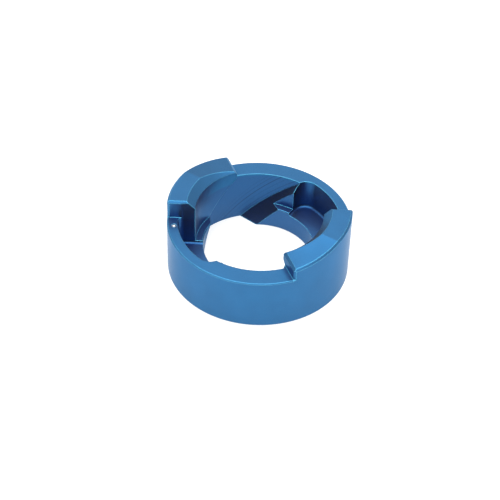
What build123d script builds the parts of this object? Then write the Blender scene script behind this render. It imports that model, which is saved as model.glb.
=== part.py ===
"""Two-jaw bayonet coupling ring with sprung ball detents.

One machined aluminium ring carries two drive jaws, two lug pockets and two
helical channels.  Two small press-in ball plungers sit in the thin rim, each
made of a sleeve, a coil spring and a ball that dips when a mating ring passes.

Millimetres, +Z up.  The origin is the ring's axis at its bottom face.  Angles
are counted from +X, and everything on the ring repeats after half a turn.
"""
import os
from math import degrees, sqrt

from build123d import *

os.makedirs("parts", exist_ok=True)

# ---- ring: overall sizes -------------------------------------------------
outer_radius = 40.0          # outside of the ring and of the jaws
rim_height = 24.3            # low rim between the jaws
jaw_height = 33.0            # flat top of the jaws
bore_radius = 24.3           # flange bore, right through
boss_radius = 27.8           # inner wall above the flange
flange_height = 11.0         # top of the inner flange
flange_fillet = 0.6          # between the flange and the wall above it
edge_break = 0.45            # broken outer edges of the rim and of the bottom face
flange_edge_break = 0.4      # broken edges of the flange bore

# ---- jaws ----------------------------------------------------------------
jaw_start = 112.5            # angle of the low end of the first jaw
jaw_end = 180.0              # angle of its high end, in line with a pocket end
jaw_ramp_span = 35.0         # the top rises over this angle, then runs flat
jaw_ramp_rise = 3.3          # how far it rises
jaw_inner_bevel = 3.6        # 45 degree bevel round the jaws' inner top edge
jaw_edge_break = 0.9         # broken outer, end and corner edges of the jaws

# ---- lug pockets ---------------------------------------------------------
pocket_start = -0.3          # cut a hair past the end face of the jaw beside it
pocket_end = 57.5            # angle of the far end
pocket_wall = 4.6            # rim left outside a pocket
pocket_floor_height = 9.8
pocket_large_corner = 5.6    # corner at the far end
pocket_small_corner = 2.6    # corner under the jaw's end
pocket_floor_fillet = 1.2    # between floor and walls

# ---- helical channels ----------------------------------------------------
channel_wall = 8.4           # rim left outside a channel
channel_start = 106.5        # angle of the lower flank's foot at the bottom face
channel_span = 54.5          # angle of the channel's floor
channel_flank_lean = 13.9    # turn of a flank from the floor to the flange bore
channel_flank_reach = 1.5    # how far a flank runs, in its lengths from floor to bore
channel_lead = 171.0         # height of one full turn, left-handed

# ---- ball detents --------------------------------------------------------
detent_angle = 8.4           # from the end face of the jaw beside it
detent_inner_wall = 0.55     # metal left between a detent and its pocket
sleeve_radius = 1.1
sleeve_length = 3.0
sleeve_floor = 0.4
press_overlap = 0.01         # the sleeve is this much larger than its hole
hole_spare_depth = 0.1
ball_radius = 0.75
ball_stand_out = 0.36        # ball above the rim at rest
ball_running_clearance = 0.02
lip_clearance = 0.02
spring_wire_radius = 0.09
spring_side_clearance = 0.06
spring_end_gap = 0.02
spring_turns = 5

# ---- places that follow from the sizes above -----------------------------
overcut = 1.0                # how far a tool runs past the metal
lip_overcut = 0.1            # the same for the ramp tool's lip
ramp_overlap = 10.0          # the ramp tool spans the ramp and this angle more
half_turn = (0, 180)
pocket_radius = outer_radius - pocket_wall
channel_radius = outer_radius - channel_wall
tool_inner_radius = bore_radius / 2
bevel_top_radius = boss_radius + jaw_inner_bevel
ramp_low = jaw_height - jaw_ramp_rise
detent_radius = pocket_radius + detent_inner_wall + sleeve_radius
detent_names = ("right", "left")
hole_radius = sleeve_radius - press_overlap
sleeve_bore_radius = ball_radius + ball_running_clearance
ball_sink = ball_radius - ball_stand_out
mouth_radius = sqrt(ball_radius**2 - ball_sink**2) + lip_clearance
coil_radius = sleeve_bore_radius - spring_side_clearance - spring_wire_radius
touch_distance = ball_radius + spring_wire_radius + spring_end_gap
spring_top_depth = ball_sink + sqrt(touch_distance**2 - coil_radius**2)
spring_bottom_depth = sleeve_length - sleeve_floor - spring_wire_radius - spring_end_gap
spring_length = spring_bottom_depth - spring_top_depth


def polar_point(radius, angle):
    """A point in the XY plane from its radius and its angle in degrees."""
    return Vector(radius, 0, 0).rotate(Axis.Z, angle)


def sector_outline(inner_radius, sector_radius, start, span):
    """Draw the closed outline of a sector of a ring in the active line builder."""
    outer_arc = CenterArc((0, 0), sector_radius, start, span)
    inner_arc = CenterArc((0, 0), inner_radius, start, span)
    Line(outer_arc @ 0, inner_arc @ 0)
    Line(outer_arc @ 1, inner_arc @ 1)


# ---- pocket tool: a sector with two round corners and a filleted floor ----
with BuildPart() as pocket_tool:
    with BuildSketch(Plane.XY.offset(pocket_floor_height)) as pocket_outline:
        with BuildLine():
            sector_outline(tool_inner_radius, pocket_radius, pocket_start, pocket_end - pocket_start)
        make_face()
        wall_arc = pocket_outline.edges().filter_by(GeomType.CIRCLE).sort_by(SortBy.RADIUS)[-1]
        fillet(wall_arc.vertices().sort_by(Axis.Y)[-1], pocket_large_corner)
        wall_arc = pocket_outline.edges().filter_by(GeomType.CIRCLE).sort_by(SortBy.RADIUS)[-1]
        fillet(wall_arc.vertices().sort_by(Axis.Y)[0], pocket_small_corner)
    extrude(amount=jaw_height + overcut - pocket_floor_height)
    floor_edges = pocket_tool.faces().sort_by(Axis.Z)[0].edges()
    fillet(floor_edges, pocket_floor_fillet)

# ---- gap tool: the space over the low rim, between one jaw and the next ----
# Its outline flares past the jaws' outer corners, a bevelled skirt reaches just
# below the rim, and a wedge runs along each jaw's top end, so all leave broken edges.
gap_span = 180 + jaw_start - jaw_end
flare = degrees(jaw_edge_break / outer_radius)
with BuildPart() as gap_tool:
    with BuildSketch(Plane.XY.offset(rim_height)):
        with BuildLine():
            sector_outline(tool_inner_radius, outer_radius + overcut, jaw_end, gap_span)
        make_face()
        for corner_angle, lean in ((jaw_end, -1), (jaw_end + gap_span, 1)):
            with BuildLine():
                Polyline(
                    polar_point(outer_radius - jaw_edge_break, corner_angle),
                    polar_point(outer_radius, corner_angle + lean * flare),
                    polar_point(outer_radius + overcut, corner_angle + lean * flare),
                    polar_point(outer_radius + overcut, corner_angle - lean * flare),
                    close=True,
                )
            make_face()
    extrude(amount=jaw_height + overcut - rim_height)
    with BuildSketch(Plane.XZ.rotated((0, 0, jaw_end))):
        with BuildLine():
            Polyline(
                (outer_radius - edge_break, rim_height),
                (outer_radius + overcut, rim_height - edge_break - overcut),
                (outer_radius + overcut, rim_height),
                close=True,
            )
        make_face()
    revolve(axis=Axis.Z, revolution_arc=gap_span)
    for end_angle, end_height, lean in ((jaw_end, jaw_height, -1), (jaw_end + gap_span, ramp_low, 1)):
        end_foot = polar_point(bore_radius, end_angle) + Vector(0, 0, end_height)
        tangent = polar_point(1, end_angle + 90)
        with BuildSketch(Plane(origin=end_foot, x_dir=tangent, z_dir=polar_point(1, end_angle))):
            with BuildLine():
                Polyline(
                    (-lean * overcut, -jaw_edge_break - overcut),
                    (lean * (jaw_edge_break + overcut), overcut),
                    (-lean * overcut, overcut),
                    close=True,
                )
            make_face()
        extrude(amount=outer_radius + overcut - bore_radius)

# ---- ramp tool: a sector that turns as it rises and leaves a helical top ----
# The lip at its outer edge runs ahead of it and leaves the ramp's broken edge.
ramp_turn_rate = jaw_ramp_span / jaw_ramp_rise
ramp_tool_low = max(ramp_low - jaw_edge_break - lip_overcut, rim_height)
ramp_tool_height = jaw_height + overcut - ramp_tool_low
ramp_tool_start = jaw_start + ramp_turn_rate * (ramp_tool_low - ramp_low)
ramp_tool_span = jaw_ramp_span + ramp_overlap
half_break = jaw_edge_break / 2
lip_middle = ramp_tool_start + ramp_turn_rate * half_break
lip_end = ramp_tool_start + ramp_turn_rate * (jaw_edge_break + lip_overcut)
with BuildSketch(Plane.XY.offset(ramp_tool_low)) as ramp_outline:
    with BuildLine():
        sector_outline(
            tool_inner_radius,
            outer_radius + overcut,
            ramp_tool_start - ramp_tool_span,
            ramp_tool_span,
        )
    make_face()
    with BuildLine():
        Polyline(
            polar_point(outer_radius - jaw_edge_break, ramp_tool_start),
            polar_point(outer_radius - half_break, lip_middle),
            polar_point(outer_radius + lip_overcut, lip_end),
            polar_point(outer_radius + overcut, lip_end),
            polar_point(outer_radius + overcut, ramp_tool_start),
            close=True,
        )
    make_face()
ramp_tool = Solid.extrude_linear_with_rotation(
    ramp_outline.sketch.faces()[0],
    (0, 0, ramp_tool_low),
    (0, 0, ramp_tool_height),
    ramp_turn_rate * ramp_tool_height,
)

# ---- channel tool: two leaning flanks and a round floor, turning as it rises ----
channel_rate = -360 / channel_lead
channel_height = jaw_height + 2 * overcut
channel_bottom_start = channel_start - channel_rate * overcut
with BuildSketch(Plane.XY.offset(-overcut)) as channel_outline:
    with BuildLine():
        channel_floor = CenterArc((0, 0), channel_radius, channel_bottom_start, channel_span)
        lower_bore_point = polar_point(bore_radius, channel_bottom_start - channel_flank_lean)
        upper_bore_point = polar_point(bore_radius, channel_bottom_start + channel_span + channel_flank_lean)
        lower_foot = channel_floor @ 0
        upper_foot = channel_floor @ 1
        lower_inner_point = lower_foot + (lower_bore_point - lower_foot) * channel_flank_reach
        upper_inner_point = upper_foot + (upper_bore_point - upper_foot) * channel_flank_reach
        Polyline(lower_foot, lower_inner_point, upper_inner_point, upper_foot)
    make_face()
channel_tool = Solid.extrude_linear_with_rotation(
    channel_outline.sketch.faces()[0],
    (0, 0, -overcut),
    (0, 0, channel_height),
    channel_rate * channel_height,
)

# ---- ring body -----------------------------------------------------------
with BuildPart() as ring_body:
    with BuildSketch(Plane.XZ) as ring_section:
        with BuildLine():
            Polyline(
                (bore_radius + flange_edge_break, 0),
                (outer_radius - edge_break, 0),
                (outer_radius, edge_break),
                (outer_radius, jaw_height - jaw_edge_break),
                (outer_radius - jaw_edge_break, jaw_height),
                (bevel_top_radius, jaw_height),
                (boss_radius, jaw_height - jaw_inner_bevel),
                (boss_radius, flange_height),
                (bore_radius + flange_edge_break, flange_height),
                (bore_radius, flange_height - flange_edge_break),
                (bore_radius, flange_edge_break),
                close=True,
            )
        make_face()
        flange_corner = ring_section.vertices().sort_by_distance((boss_radius, 0, flange_height))[0]
        fillet(flange_corner, flange_fillet)
    revolve(axis=Axis.Z)
    with PolarLocations(0, len(half_turn)):
        add(gap_tool.part, mode=Mode.SUBTRACT)
        add(ramp_tool, mode=Mode.SUBTRACT)
        add(pocket_tool.part, mode=Mode.SUBTRACT)
        add(channel_tool, mode=Mode.SUBTRACT)
        with Locations(polar_point(detent_radius, detent_angle) + Vector(0, 0, rim_height)):
            Cylinder(
                hole_radius,
                sleeve_length + hole_spare_depth,
                align=(Align.CENTER, Align.CENTER, Align.MAX),
                mode=Mode.SUBTRACT,
            )
ring_body.part.label = "ring_body"
export_step(ring_body.part, "parts/ring_body.step")

# ---- ball detents: sleeve, spring and ball, one set in each thin rim -------
for side, turn in zip(detent_names, half_turn):
    mouth = polar_point(detent_radius, detent_angle + turn) + Vector(0, 0, rim_height)
    ball_centre = mouth - Vector(0, 0, ball_sink)
    spring_foot = mouth - Vector(0, 0, spring_bottom_depth)

    with BuildPart() as sleeve:
        with BuildSketch(Plane(origin=mouth, x_dir=(1, 0, 0), z_dir=(0, -1, 0))):
            with BuildLine():
                Polyline(
                    (mouth_radius, 0),
                    (sleeve_radius, 0),
                    (sleeve_radius, -sleeve_length),
                    (0, -sleeve_length),
                    (0, sleeve_floor - sleeve_length),
                    (sleeve_bore_radius, sleeve_floor - sleeve_length),
                    (sleeve_bore_radius, mouth_radius - sleeve_bore_radius),
                    close=True,
                )
            make_face()
        revolve(axis=Axis(mouth, (0, 0, 1)))
    sleeve.part.label = f"detent_sleeve_{side}"
    export_step(sleeve.part, f"parts/detent_sleeve_{side}.step")

    with BuildPart() as spring:
        with BuildLine():
            coil = Helix(spring_length / spring_turns, spring_length, coil_radius, center=spring_foot)
        with BuildSketch(Plane(origin=coil @ 0, z_dir=coil % 0)):
            Circle(spring_wire_radius)
        sweep(is_frenet=True)
    spring.part.label = f"detent_spring_{side}"
    export_step(spring.part, f"parts/detent_spring_{side}.step")

    with BuildPart() as ball:
        with Locations(ball_centre):
            Sphere(ball_radius)
    ball.part.label = f"detent_ball_{side}"
    export_step(ball.part, f"parts/detent_ball_{side}.step")
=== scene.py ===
"""Looks of the bayonet coupling ring: a blue anodised ring with two sprung ball detents.

Metres, in the frame of the CAD model: +Z up, the ring's axis at the origin, and
its bottom face at height zero.  Angles are counted from +X.
"""
import math

import bmesh
import bpy
from mathutils import Matrix, Vector


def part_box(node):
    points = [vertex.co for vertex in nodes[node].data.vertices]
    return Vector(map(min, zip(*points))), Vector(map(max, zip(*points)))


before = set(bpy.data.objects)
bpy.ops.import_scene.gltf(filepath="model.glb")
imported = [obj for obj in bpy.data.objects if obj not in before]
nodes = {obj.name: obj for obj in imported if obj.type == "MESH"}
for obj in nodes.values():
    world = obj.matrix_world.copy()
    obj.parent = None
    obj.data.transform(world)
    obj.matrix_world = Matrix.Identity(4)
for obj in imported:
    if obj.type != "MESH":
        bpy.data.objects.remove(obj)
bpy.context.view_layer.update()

# ---- ring body ------------------------------------------------------------
# One ring of aluminium, turned and milled, then blasted with fine glass beads
# and anodised blue.  The clear oxide layer over the blue gives it a white sheen.
# The mills that cut the channels and pockets left fine lines under the colour.
ring_low, ring_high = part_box("ring_body")
outer_radius = (ring_high.x - ring_low.x) / 2
millimetre = outer_radius / 40


def add_node(tree, kind, settings=None, values=None):
    """A shader node with its properties set, and its inputs set or linked."""
    node = tree.nodes.new(kind)
    for name, setting in (settings or {}).items():
        setattr(node, name, setting)
    for socket, value in (values or {}).items():
        if isinstance(value, bpy.types.NodeSocket):
            tree.links.new(value, node.inputs[socket])
        else:
            node.inputs[socket].default_value = value
    return node


def calculate(tree, operation, first, second=0.0, third=0.0):
    """The result of one Math node."""
    values = {0: first, 1: second, 2: third}
    return add_node(tree, "ShaderNodeMath", {"operation": operation}, values).outputs[0]


def ease(tree, value, start, end, top=1.0):
    """A smooth rise from 0 to top as the value goes from start to end."""
    values = {"Value": value, "From Min": start, "From Max": end, "To Max": top}
    step = add_node(tree, "ShaderNodeMapRange", {"interpolation_type": "SMOOTHSTEP"}, values)
    return step.outputs["Result"]


def blend(tree, share, first, second):
    """The first colour, with a share of the second colour laid over it."""
    # A Mix node's colour sockets are number 6 and number 7, and its colour output is number 2.
    values = {"Factor": share, 6: first, 7: second}
    return add_node(tree, "ShaderNodeMix", {"data_type": "RGBA"}, values).outputs[2]


def new_group(name, inputs, outputs):
    """An empty node group with the named sockets, and its two end nodes."""
    group = bpy.data.node_groups.new(name, "ShaderNodeTree")
    for socket_name, socket_kind in inputs:
        group.interface.new_socket(socket_name, in_out="INPUT", socket_type=socket_kind)
    for socket_name, socket_kind in outputs:
        group.interface.new_socket(socket_name, in_out="OUTPUT", socket_type=socket_kind)
    return group, group.nodes.new("NodeGroupInput"), group.nodes.new("NodeGroupOutput")


def new_metal(name):
    """A material with its node tree, its Principled shader and its Object coordinates."""
    material = bpy.data.materials.new(name)
    material.use_nodes = True
    tree = material.node_tree
    shader = tree.nodes["Principled BSDF"]
    shader.inputs["Metallic"].default_value = 1.0
    place = tree.nodes.new("ShaderNodeTexCoord").outputs["Object"]
    return material, tree, shader, place


# Fine grain: a close, even pitting with a slow drift of tone over centimetres.
grain, grain_in, grain_out = new_group(
    "fine_grain",
    [("Vector", "NodeSocketVector"), ("Grain size", "NodeSocketFloat"), ("Drift size", "NodeSocketFloat")],
    [("Pits", "NodeSocketFloat"), ("Drift", "NodeSocketFloat")],
)
for size_name, result_name, detail, roughness in (
    ("Grain size", "Pits", 2.0, 0.6),
    ("Drift size", "Drift", 3.0, 0.5),
):
    noise = add_node(
        grain,
        "ShaderNodeTexNoise",
        values={
            "Vector": grain_in.outputs["Vector"],
            "Scale": calculate(grain, "DIVIDE", 1.0, grain_in.outputs[size_name]),
            "Detail": detail,
            "Roughness": roughness,
        },
    )
    grain.links.new(noise.outputs["Fac"], grain_out.inputs[result_name])

# Edge highlights: a mask of the sharp corners, inner and outer, for a painted highlight, and a normal that
# turns softly round them.  The mask starts and is full at these bends of the normal.
edge_width = 0.5 * millimetre
first_highlight_bend = 0.01
full_highlight_bend = 0.12
edges, edges_in, edges_out = new_group(
    "soft_edges",
    [("Strength", "NodeSocketFloat")],
    [("Mask", "NodeSocketFloat"), ("Normal", "NodeSocketVector")],
)
rounded = add_node(edges, "ShaderNodeBevel", {"samples": 6}, {"Radius": edge_width})
flat_normal = add_node(edges, "ShaderNodeNewGeometry").outputs["Normal"]
agreement = add_node(
    edges,
    "ShaderNodeVectorMath",
    {"operation": "DOT_PRODUCT"},
    {0: rounded.outputs["Normal"], 1: flat_normal},
).outputs["Value"]
bend = calculate(edges, "SUBTRACT", 1.0, agreement)
painted_edge_highlight = ease(edges, bend, first_highlight_bend, full_highlight_bend)
mask = calculate(edges, "MULTIPLY", painted_edge_highlight, edges_in.outputs["Strength"])
edges.links.new(mask, edges_out.inputs["Mask"])
edges.links.new(rounded.outputs["Normal"], edges_out.inputs["Normal"])

anodised, tree, shader, place = new_metal("blue_anodised_aluminium")
x, y, z = add_node(tree, "ShaderNodeSeparateXYZ", values={"Vector": place}).outputs
across = add_node(tree, "ShaderNodeCombineXYZ", values={"X": x, "Y": y})
radius = add_node(
    tree, "ShaderNodeVectorMath", {"operation": "LENGTH"}, {0: across.outputs["Vector"]}
).outputs["Value"]

# Mill lines run along the two helical channels.  Each line is placed by the angle, in
# degrees, at which it would meet the bottom face, and then has its depth.
channel_lead = 171 * millimetre
channel_spacing = 180.0
channel_floor_radius = 31.6 * millimetre
channel_floor_band = 0.25 * millimetre
channel_lines = ((111.5, 0.55), (118.0, 0.35), (123.6, 1.0), (129.0, 0.45), (133.5, 0.25))
line_half_width = 0.9
angle = calculate(tree, "DEGREES", calculate(tree, "ARCTAN2", y, x))
climb = calculate(tree, "MULTIPLY", z, 360 / channel_lead)
turn = calculate(tree, "FLOORED_MODULO", calculate(tree, "ADD", angle, climb), channel_spacing)
on_channel_floor = calculate(tree, "COMPARE", radius, channel_floor_radius, channel_floor_band)
lines = 0.0
for line_turn, line_depth in channel_lines:
    distance = calculate(tree, "ABSOLUTE", calculate(tree, "SUBTRACT", turn, line_turn))
    lines = calculate(tree, "ADD", ease(tree, distance, line_half_width, 0.0, line_depth), lines)
lines = calculate(tree, "MULTIPLY", lines, on_channel_floor)

# Level lines run round the lower walls of each pocket, one for each pass of the mill.
pocket_floor_height = 9.8 * millimetre
pocket_wall_radius = 34.0 * millimetre
pocket_wall_band = 1.6 * millimetre
pass_spacing = 1.35 * millimetre
pass_line_width = 0.216 * millimetre
pass_zone_middle = 3.85 * millimetre
pass_zone_half_height = 3.5 * millimetre
pass_line_depth = 0.45
above_floor = calculate(tree, "SUBTRACT", z, pocket_floor_height)
pass_step = calculate(tree, "FLOORED_MODULO", above_floor, pass_spacing)
in_pass_line = calculate(tree, "LESS_THAN", pass_step, pass_line_width)
in_pass_zone = calculate(tree, "COMPARE", above_floor, pass_zone_middle, pass_zone_half_height)
on_pocket_wall = calculate(tree, "COMPARE", radius, pocket_wall_radius, pocket_wall_band)
on_lower_wall = calculate(tree, "MULTIPLY", in_pass_zone, on_pocket_wall)
pass_lines = calculate(tree, "MULTIPLY", in_pass_line, on_lower_wall)
mill_lines = calculate(tree, "ADD", lines, calculate(tree, "MULTIPLY", pass_lines, pass_line_depth))

# Painted shade: the colour is darker inside the ring, below the low rim, where the hollow lies in shade.
rim_height = 24.3 * millimetre
painted_shade_start = rim_height - 0.4 * millimetre
painted_shade_full = rim_height - 1.6 * millimetre
painted_shade_strength = 0.9
below_rim = ease(tree, z, painted_shade_start, painted_shade_full)
within_wall = calculate(tree, "LESS_THAN", radius, pocket_wall_radius + pocket_wall_band)
recess_shade_mask = calculate(tree, "MULTIPLY", below_rim, within_wall)

grains = tree.nodes.new("ShaderNodeGroup")
grains.node_tree = grain
grains.inputs["Grain size"].default_value = 0.16 * millimetre
grains.inputs["Drift size"].default_value = 9 * millimetre
tree.links.new(place, grains.inputs["Vector"])
corners = tree.nodes.new("ShaderNodeGroup")
corners.node_tree = edges
# The strength of the painted edge highlight.
corners.inputs["Strength"].default_value = 0.7

# Colour: the dye drifts between two close blues, is darker inside the ring with painted shade,
# is dark in the lines, and has a painted highlight along the sharp corners.
dye_tones = ((0.3, (0.007, 0.110, 0.270, 1)), (0.7, (0.009, 0.124, 0.302, 1)))
# The darker blue of the painted shade inside the ring.
painted_shade_colour = (0.013, 0.087, 0.240, 1)
mill_line_colour = (0.003, 0.04, 0.13, 1)
darkest_line_share = 0.95
# The light blue of the painted highlight on the corners.
painted_highlight_colour = (0.14, 0.6, 0.88, 1)
dye = add_node(tree, "ShaderNodeValToRGB", values={"Fac": grains.outputs["Drift"]})
for stop, (position, colour) in zip(dye.color_ramp.elements, dye_tones):
    stop.position = position
    stop.color = colour
painted_shade_share = calculate(tree, "MULTIPLY", recess_shade_mask, painted_shade_strength)
line_share = calculate(tree, "MINIMUM", mill_lines, darkest_line_share)
# Painted shade is laid over the dye inside the ring.
dyed_and_shaded = blend(tree, painted_shade_share, dye.outputs["Color"], painted_shade_colour)
lined = blend(tree, line_share, dyed_and_shaded, mill_line_colour)
# A painted highlight is laid along the sharp corners.
highlighted = blend(tree, corners.outputs["Mask"], lined, painted_highlight_colour)
tree.links.new(highlighted, shader.inputs["Base Color"])

# Surface: a satin metal under a dull clear coat, pitted by the beads and cut by the lines.
satin = {"From Min": 0.3, "From Max": 0.7, "To Min": 0.27, "To Max": 0.35}
bead_pit_depth = 0.2
relief_strength = 0.45
relief_depth = 0.06 * millimetre
sheen_breadth = add_node(tree, "ShaderNodeMapRange", values={"Value": grains.outputs["Pits"], **satin})
tree.links.new(sheen_breadth.outputs["Result"], shader.inputs["Roughness"])
shader.inputs["Coat Weight"].default_value = 0.72
shader.inputs["Coat Roughness"].default_value = 0.6
shader.inputs["Coat IOR"].default_value = 1.5
shader.inputs["Specular Tint"].default_value = (0.5, 0.65, 0.8, 1)
bead_pits = calculate(tree, "MULTIPLY", grains.outputs["Pits"], bead_pit_depth)
bump = add_node(
    tree,
    "ShaderNodeBump",
    values={
        "Height": calculate(tree, "SUBTRACT", bead_pits, mill_lines),
        "Strength": relief_strength,
        "Distance": relief_depth,
        "Normal": corners.outputs["Normal"],
    },
)
tree.links.new(bump.outputs["Normal"], shader.inputs["Normal"])
nodes["ring_body"].data.materials.clear()
nodes["ring_body"].data.materials.append(anodised)

# ---- detent balls, sleeves and springs --------------------------------------
# Bought-in ball plungers pressed into the rim: a turned steel sleeve, a coil of
# hard-drawn wire, and a ground bearing ball that stands a little above the rim.
# Each finish has its name, its tone, its least roughness and its pits' strength.
steel_finishes = {
    "ball": ("ground_ball_steel", (0.93, 0.93, 0.93), 0.3, 0.02),
    "sleeve": ("turned_sleeve_steel", (0.42, 0.42, 0.44), 0.28, 0.35),
    "spring": ("drawn_spring_steel", (0.36, 0.35, 0.34), 0.34, 0.5),
}
shaded_tone = (0.85, 0.85, 0.87)
most_to_least_roughness = 1.3
steel_pit_depth = 0.01 * millimetre
for part, (finish, tone, roughness, pit_strength) in steel_finishes.items():
    steel, tree, shader, place = new_metal(finish)
    grains = tree.nodes.new("ShaderNodeGroup")
    grains.node_tree = grain
    grains.inputs["Grain size"].default_value = 0.05 * millimetre
    grains.inputs["Drift size"].default_value = 0.8 * millimetre
    tree.links.new(place, grains.inputs["Vector"])
    tones = add_node(tree, "ShaderNodeValToRGB", values={"Fac": grains.outputs["Drift"]})
    shaded, full = tones.color_ramp.elements
    shaded.color = (*(level * share for level, share in zip(tone, shaded_tone)), 1)
    full.color = (*tone, 1)
    tree.links.new(tones.outputs["Color"], shader.inputs["Base Color"])
    dullness = add_node(
        tree,
        "ShaderNodeMapRange",
        values={
            "Value": grains.outputs["Pits"],
            "To Min": roughness,
            "To Max": roughness * most_to_least_roughness,
        },
    )
    tree.links.new(dullness.outputs["Result"], shader.inputs["Roughness"])
    bump = add_node(
        tree,
        "ShaderNodeBump",
        values={"Height": grains.outputs["Pits"], "Strength": pit_strength, "Distance": steel_pit_depth},
    )
    tree.links.new(bump.outputs["Normal"], shader.inputs["Normal"])
    for side in ("left", "right"):
        node = nodes[f"detent_{part}_{side}"]
        node.data.materials.clear()
        node.data.materials.append(steel)

# ---- floor ----------------------------------------------------------------
# A plain white table, larger than the view.  It glows a little, so it stays white
# and keeps only a faint shadow, and it lies just clear of the ring's bottom face.
floor_half_width = 60 * outer_radius
floor_gap = 0.03 * millimetre
floor_grey = 0.5
floor_glow = 0.65
floor_mesh = bpy.data.meshes.new("floor")
shape = bmesh.new()
just_below = Matrix.Translation((0, 0, -floor_gap))
bmesh.ops.create_grid(shape, x_segments=1, y_segments=1, size=floor_half_width, matrix=just_below)
shape.to_mesh(floor_mesh)
shape.free()
floor = bpy.data.objects.new("floor", floor_mesh)
bpy.context.scene.collection.objects.link(floor)
paper = bpy.data.materials.new("white_table")
paper.use_nodes = True
paper_shader = paper.node_tree.nodes["Principled BSDF"]
paper_shader.inputs["Base Color"].default_value = (floor_grey, floor_grey, floor_grey, 1)
paper_shader.inputs["Emission Color"].default_value = (1, 1, 1, 1)
paper_shader.inputs["Emission Strength"].default_value = floor_glow
paper_shader.inputs["Roughness"].default_value = 0.9
paper_shader.inputs["Specular IOR Level"].default_value = 0.0
floor_mesh.materials.append(paper)

# ---- light ----------------------------------------------------------------
# A white studio room, softly lit all round and brightest overhead.  On the camera's
# side the bright part comes a little lower, which lights the slopes that face it.
room = bpy.data.worlds.new("studio_room")
room.use_nodes = True
tree = room.node_tree
direction = tree.nodes.new("ShaderNodeTexCoord").outputs["Generated"]
_, towards_back, upwards = add_node(tree, "ShaderNodeSeparateXYZ", values={"Vector": direction}).outputs
# Each pair is the sine of a height above the floor and the brightness there.
back_levels = ((0.0, 0.85), (0.5, 0.97), (0.68, 1.18), (0.79, 2.4), (1.0, 2.9))
camera_side_levels = ((0.0, 0.9), (0.64, 1.05), (0.73, 2.2), (0.84, 2.9), (1.0, 2.9))
front_end = -0.35
back_start = 0.25
sides = []
for levels in (back_levels, camera_side_levels):
    ramp = add_node(tree, "ShaderNodeValToRGB", values={"Fac": upwards})
    for sine, _ in levels[1:-1]:
        ramp.color_ramp.elements.new(sine)
    for stop, (sine, level) in zip(ramp.color_ramp.elements, levels):
        stop.position = sine
        stop.color = (level, level, level, 1)
    sides.append(ramp.outputs["Color"])
back_colour, camera_side_colour = sides
back_share = ease(tree, towards_back, front_end, back_start)
room_colour = blend(tree, back_share, camera_side_colour, back_colour)
tree.links.new(room_colour, tree.nodes["Background"].inputs["Color"])
bpy.context.scene.world = room
bpy.context.scene.view_settings.view_transform = "Standard"

# ---- camera ---------------------------------------------------------------
# A long lens looks down on the ring from the front and fills the middle of the frame.
# Distances are counted in outer radii, so the view follows the ring's size.
camera_elevation = math.radians(43.12)
camera_distance = 15.731 * outer_radius
aim_yaw = 0.0058
aim_pitch = 0.0078
camera_roll = math.radians(2.12)
camera_data = bpy.data.cameras.new("camera")
camera_data.lens = 101.8
camera_data.sensor_width = 36.0
camera_data.clip_start = 0.01
camera_data.clip_end = 20.0
camera = bpy.data.objects.new("camera", camera_data)
bpy.context.scene.collection.objects.link(camera)
stand = Vector((0, -math.cos(camera_elevation), math.sin(camera_elevation))) * camera_distance
level_view = Matrix.Rotation(math.pi / 2 - camera_elevation, 4, "X")
turned = Matrix.Rotation(aim_yaw, 4, "Y") @ Matrix.Rotation(aim_pitch, 4, "X")
aim = turned @ Matrix.Rotation(camera_roll, 4, "Z")
camera.matrix_world = Matrix.Translation(stand) @ level_view @ aim
bpy.context.scene.camera = camera
